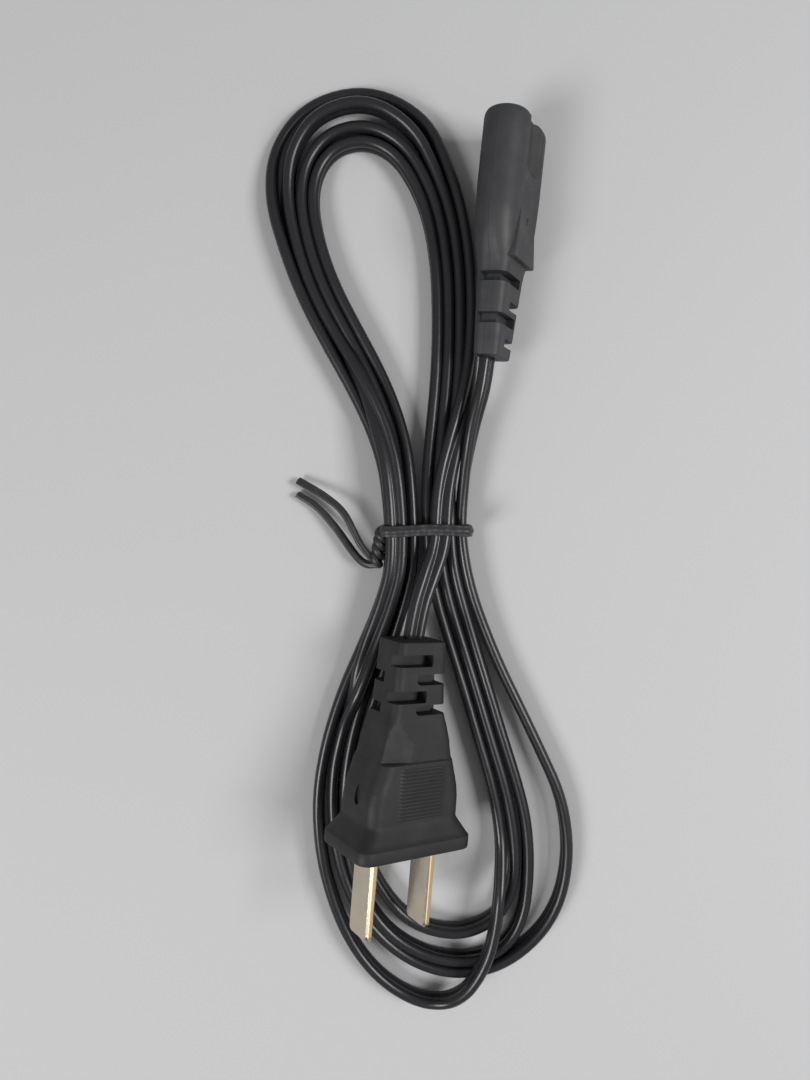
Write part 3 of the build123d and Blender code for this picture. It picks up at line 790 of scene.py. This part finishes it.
def barrel_valley(floor=2.78, rim=4.07, top=4.7, half_top=3.7, closes_from=-8.3, closes_in=1.6):
    """The valley between the barrels: each wall is the barrel's own circle,
    x = middle - sqrt(radius^2 - y^2), and the whole profile draws in towards (0, top) as a quarter circle
    over its last stretch."""
    wall_y = np.linspace(floor, rim, 9)
    wall = np.stack([BARREL_MIDDLE - np.sqrt(BARREL_RADIUS ** 2 - wall_y ** 2), wall_y], axis=1)
    across, up = np.concatenate([wall, [(half_top, top), (-half_top, top)], (wall * (-1, 1))[::-1]]).T
    fall = np.linspace(0, 0.5 * np.pi, 9)[:-1]
    level = np.concatenate([[0.5], closes_from - closes_in * np.sin(fall)])[:, None]
    draw = np.concatenate([[1.0], np.cos(fall)])[:, None]
    return np.stack([across * draw, top + (up - top) * draw, level + 0 * across], axis=-1)


def connector_cutters():
    """The relief's slots, the valleys on both sides of the barrels and the recess of the mouth."""
    cuts = []
    for low, high, outline, copy in CONNECTOR_SLOTS:
        for half in ((1, 1), copy):
            cuts.append(tube_shell(on_connector(prism(np.array(outline) * half, low, high, [0, 1, 2]))))
    for half in (1, -1):
        cuts.append(tube_shell(on_connector(barrel_valley() * (1, half, 1))))
    mouth = carried_outline(MOUTH_STATIONS, rounded_outline(9, 3, 10))
    cuts.append(tube_shell(on_connector(mouth)))
    return cuts


# The twist tie's shape, in plan millimetres

RING_PLACE = (4.0, 2.3, 4.7)
RING_HALF_WIDTH, RING_HALF_HEIGHT, RING_CORNER = 8.3, 4.0, 2.0
TWIST_LINE = [(-4.2, 2.3, 5.2), (-4.8, -0.6, 4.6), (-5.5, -4.3, 3.5)]
TWIST_RADIUS, WIRE_RADIUS = 0.68, 0.76
END_HALF_WIDTH, END_THINNER = 0.78, 0.85

# The two loose ends: points of the line, and the lean at its start and at its tip.
LOOSE_ENDS = (
    ([(-5.3, -4.0, 3.7), (-6.6, -3.0, 4.1), (-8.6, -0.3, 4.3), (-11.6, 5.3, 3.8), (-15.4, 8.6, 2.8),
      (-20.6, 11.6, 1.4)], (20, 60)),
    ([(-5.4, -4.4, 3.3), (-7.4, -4.4, 2.8), (-9.4, -2.9, 2.5), (-13.3, 2.4, 1.9), (-17.0, 6.5, 1.4),
      (-20.8, 9.0, 1.0)], (80, 35)))


def band_section(wire, sheet=0.3):
    """A flat strip with a round wire in its middle, closed with rounded edges: for w = cos(angle), the half
    thickness is sheet + (wire / 2 - sheet) exp(-(2.2 w)^2), brought to nothing over the strip's edges."""
    angle = np.linspace(0, 2 * np.pi, 28, endpoint=False)
    w = np.cos(angle)
    closing = np.sign(np.sin(angle)) * np.minimum(np.abs(np.sin(angle)) * 3, 1)
    return w, closing * (sheet + (wire / 2 - sheet) * np.exp(-(2.2 * w) ** 2))


def tie_ring(band, w, t, pulled_in=0.05, dip=0.10, strand_pitch=2.15, wander=0.18):
    """The ring round the waist: a rounded rectangle that stands across the strands, pulled in a little, with
    dips as a cosine of x between them, and wandering along the cord as a slow sine of x."""
    u, v, way = rounded_outline(33, 9, 7)
    x = u * (RING_HALF_WIDTH - RING_CORNER) + RING_CORNER * np.cos(way)
    z = v * (RING_HALF_HEIGHT - RING_CORNER) + RING_CORNER * np.sin(way)
    sag = pulled_in + dip * np.cos(2 * np.pi * x / strand_pitch) * (np.abs(v) == 1)
    y = wander * np.sin(0.35 * x + 1.0)
    centre = np.stack([x, y, z - np.sign(z) * sag], axis=1) + RING_PLACE
    outward = np.stack([np.cos(way), 0 * way, np.sin(way)], axis=1)
    across = np.array([0, band / 2, 0])
    return centre[:, None] + outward[:, None] * t[None, :, None] + across * w[None, :, None]


def twisted_wires(turns):
    """Two round wires on opposite sides of one line, turning about it."""
    line = through_points(TWIST_LINE, 24)
    wide, _ = across_line(line, np.linspace(0, 360 * turns, len(line)))
    angle = np.linspace(0, 2 * np.pi, 16, endpoint=False)
    circle = WIRE_RADIUS * np.cos(angle), WIRE_RADIUS * np.sin(angle)
    for side in (1, -1):
        wire = line + wide * TWIST_RADIUS * side
        yield swept_section(wire, np.zeros(len(wire)), *circle)


# Pieces, one operator each


class POWERCORD_OT_stage(bpy.types.Operator):
    """Camera at the photograph's angle, a plain pale floor and soft lamps"""
    bl_idname = "powercord.stage"
    bl_label = "Stage"

    def execute(self, context):
        settings = context.scene.powercord_stage
        lens = bpy.data.cameras.new("view")
        lens.sensor_fit = "VERTICAL"
        lens.sensor_height = SENSOR_HEIGHT
        lens.lens = SENSOR_HEIGHT * FOCAL_PIXELS / PICTURE_PIXELS
        lens.clip_start = 0.01
        camera = bpy.data.objects.new("view", lens)
        camera.location = to_part(CAMERA_PLACE)
        camera.rotation_euler = (math.radians(CAMERA_TILT), 0.0, 0.0)
        context.scene.collection.objects.link(camera)
        context.scene.camera = camera

        edge = FLOOR_EDGE
        ground = bpy.data.meshes.new("floor")
        corners = [(-edge, -edge, 0), (edge, -edge, 0), (edge, edge, 0), (-edge, edge, 0)]
        ground.from_pydata(corners, [], [(0, 1, 2, 3)])
        floor = bpy.data.objects.new("floor", ground)
        context.scene.collection.objects.link(floor)
        paper = Finish("floor_paper", settings.floor_colour, 0.9, Specular_IOR_Level=0.1)
        ground.materials.append(paper.material)
        floor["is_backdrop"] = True

        for name, place, size, share in LAMPS:
            light = bpy.data.lights.new(name, "AREA")
            light.size = size
            light.energy = settings.key_power * share
            lamp = bpy.data.objects.new(name, light)
            lamp.location = place
            away = -unit(place)
            lamp.rotation_euler = (math.acos(-away[2]), 0.0, math.atan2(away[0], -away[1]) + math.pi)
            context.scene.collection.objects.link(lamp)
        world = bpy.data.worlds.new("studio")
        world.use_nodes = True
        sky = world.node_tree.nodes["Background"]
        sky.inputs["Color"].default_value = (1, 1, 1, 1)
        sky.inputs["Strength"].default_value = settings.sky
        context.scene.world = world
        context.scene.view_settings.view_transform = "Standard"
        return {"FINISHED"}


class POWERCORD_OT_flex(bpy.types.Operator):
    """The whole flat flex, from the plug through every turn of the hank to the connector"""
    bl_idname = "powercord.flex"
    bl_label = "Flex"

    def execute(self, context):
        settings = context.scene.powercord_flex
        line = read_spline(to_part(ROUTE[:, :3]), settings.steps)

        # Each ring is two lobes side by side, never thinner than the web: the distance from the middle is the
        # sixth-power sum of the two lobes' 2 r |cos| and the web's half thickness.
        around = np.arange(settings.sides) / settings.sides
        angle = 2 * np.pi * around
        reach = ((settings.lobe * np.abs(np.cos(angle))) ** 6 + settings.web ** 6) ** (1 / 6) * MM
        rings = swept_section(line, leans_along(len(line)), reach * np.cos(angle), reach * np.sin(angle))
        lengths = np.concatenate([[0], np.cumsum(np.linalg.norm(np.diff(line, axis=0), axis=1))])
        uv = np.stack(np.broadcast_arrays(lengths[:, None], around[None, :]), axis=-1)
        flex = make_piece("flex", [tube_shell(rings, uv)])
        flex.data.materials.append(jacket_finish(settings))
        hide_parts("cord_hank", "plug_lead", "connector_lead")
        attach(flex, "root")
        context.scene["flex_line"] = line.ravel().tolist()
        return {"FINISHED"}


class POWERCORD_OT_plug(bpy.types.Operator):
    """The plug moulding with its flange, ribbed grip and slotted strain relief, and its blades"""
    bl_idname = "powercord.plug"
    bl_label = "Plug"

    def execute(self, context):
        settings = context.scene.powercord_moulding
        rings = carried_outline(plug_stations(), rounded_outline(45, 9, 6))
        trim_neck(rings)
        raise_ribs(rings, settings.rib_height, settings.rib_pitch)
        body = make_piece("plug_body", [tube_shell(on_plug(rings))])
        for cutters in plug_cutters():
            cut_away(body, make_piece("plug_cuts", cutters))

        seam = seam_plane(PLUG_ORIGIN, PLUG_SPACING_DIR, PLUG_BLADE_DIR)
        handled = shade(settings.plug_colour, 1.18)
        body.data.materials.append(moulded_finish("plug_plastic", settings.plug_colour, 0.56, seam, handled))
        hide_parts("plug_overmould")
        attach(body, "root")

        edges = (seam, BLADE_HALF_WIDTH)
        plate = plated_finish("blade_plate", settings.blade_colour, 0.12, PLUG_BLADE_DIR, edges)
        dress_nodes(plate, "blade_left", "blade_right")
        carrier = plain_plastic_finish("carrier_plastic", CARRIER_BLACK, 0.45)
        dress_nodes(carrier, "plug_insert", "connector_insert")
        copper = plated_finish("core_copper", CORE_COPPER, 0.30, PLUG_BLADE_DIR)
        dress_nodes(
            copper, "plug_core_left", "plug_core_right", "connector_core_upper", "connector_core_lower")
        return {"FINISHED"}


class POWERCORD_OT_connector(bpy.types.Operator):
    """The appliance connector with its two barrels, thumb pad and slotted strain relief"""
    bl_idname = "powercord.connector"
    bl_label = "Connector"

    def execute(self, context):
        settings = context.scene.powercord_moulding
        rings = carried_outline(CONNECTOR_STATIONS, rounded_outline(19, 3, 18))
        body = make_piece("connector_body", [tube_shell(on_connector(rings)), *pad_and_pip()])
        cut_away(body, make_piece("connector_cuts", connector_cutters()))

        seam = seam_plane(CONNECTOR_ORIGIN, CONNECTOR_BARREL_DIR, CONNECTOR_MOUTH_DIR)
        colour = settings.connector_colour
        body.data.materials.append(moulded_finish("connector_plastic", colour, 0.52, seam, CONNECTOR_HANDLED))
        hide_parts("connector_overmould")
        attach(body, "root")
        brass = plated_finish("sleeve_brass", SLEEVE_BRASS, 0.28, CONNECTOR_MOUTH_DIR)
        dress_nodes(brass, "contact_upper", "contact_lower")
        return {"FINISHED"}


class POWERCORD_OT_tie(bpy.types.Operator):
    """The twist tie: a band round the waist of the hank, its twist and its two loose ends"""
    bl_idname = "powercord.tie"
    bl_label = "Twist tie"

    def execute(self, context):
        settings = context.scene.powercord_tie
        w, t = band_section(settings.wire)
        shells = [closed_loop_shell(to_part(tie_ring(settings.band, w, t)))]
        shells += [tube_shell(to_part(wire)) for wire in twisted_wires(settings.turns)]
        for points, (lean_from, lean_to) in LOOSE_ENDS:
            line = through_points(points, 12)
            leans = np.linspace(lean_from, lean_to, len(line))
            strip = swept_section(line, leans, END_HALF_WIDTH * w, END_THINNER * t)
            shells.append(tube_shell(to_part(strip)))
        tie = make_piece("tie", shells, TIE_SHARP_ANGLE)
        tie.data.materials.append(plain_plastic_finish("tie_plastic", settings.colour, 0.34))
        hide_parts("twist_tie")
        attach(tie, "root")
        return {"FINISHED"}


class POWERCORD_OT_declare(bpy.types.Operator):
    """Works out the point at the back of the plug without keeping it, and clears the flex's stored line from
    the scene
    """
    bl_idname = "powercord.declare"
    bl_label = "Declare the flex"

    def execute(self, context):
        tuple(on_plug([(0.0, 0.0, PLUG_BACK)])[0])
        del context.scene["flex_line"]
        return {"FINISHED"}


class POWERCORD_PT_panel(bpy.types.Panel):
    """The steps that build the cord, and its settings"""
    bl_idname = "POWERCORD_PT_panel"
    bl_label = "Power Cord"
    bl_space_type = "VIEW_3D"
    bl_region_type = "UI"
    bl_category = "Power Cord"

    def draw(self, context):
        for step in STEPS:
            self.layout.operator(step.bl_idname)
        for name, group in SETTINGS.items():
            for setting in group.__annotations__:
                self.layout.prop(getattr(context.scene, name), setting)


SETTINGS = {
    "powercord_flex": FlexSettings,
    "powercord_moulding": MouldingSettings,
    "powercord_tie": TieSettings,
    "powercord_stage": StageSettings,
}
STEPS = (
    POWERCORD_OT_stage,
    POWERCORD_OT_flex,
    POWERCORD_OT_plug,
    POWERCORD_OT_connector,
    POWERCORD_OT_tie,
    POWERCORD_OT_declare,
)


def register():
    for shown in (*SETTINGS.values(), *STEPS, POWERCORD_PT_panel):
        bpy.utils.register_class(shown)
    for name, group in SETTINGS.items():
        setattr(bpy.types.Scene, name, PointerProperty(type=group))


def unregister():
    for name in SETTINGS:
        delattr(bpy.types.Scene, name)
    for shown in (POWERCORD_PT_panel, *reversed(STEPS), *reversed(SETTINGS.values())):
        bpy.utils.unregister_class(shown)


def main():
    register()
    bpy.ops.powercord.stage()
    bpy.ops.powercord.flex()
    bpy.ops.powercord.plug()
    bpy.ops.powercord.connector()
    bpy.ops.powercord.tie()
    bpy.ops.powercord.declare()
    bpy.context.view_layer.update()
    boxes = {"cad": CAD_BOX, "visual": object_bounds()}
    {name: [list(corner) for corner in box] for name, box in boxes.items()}


if __name__ == "__main__":
    main()
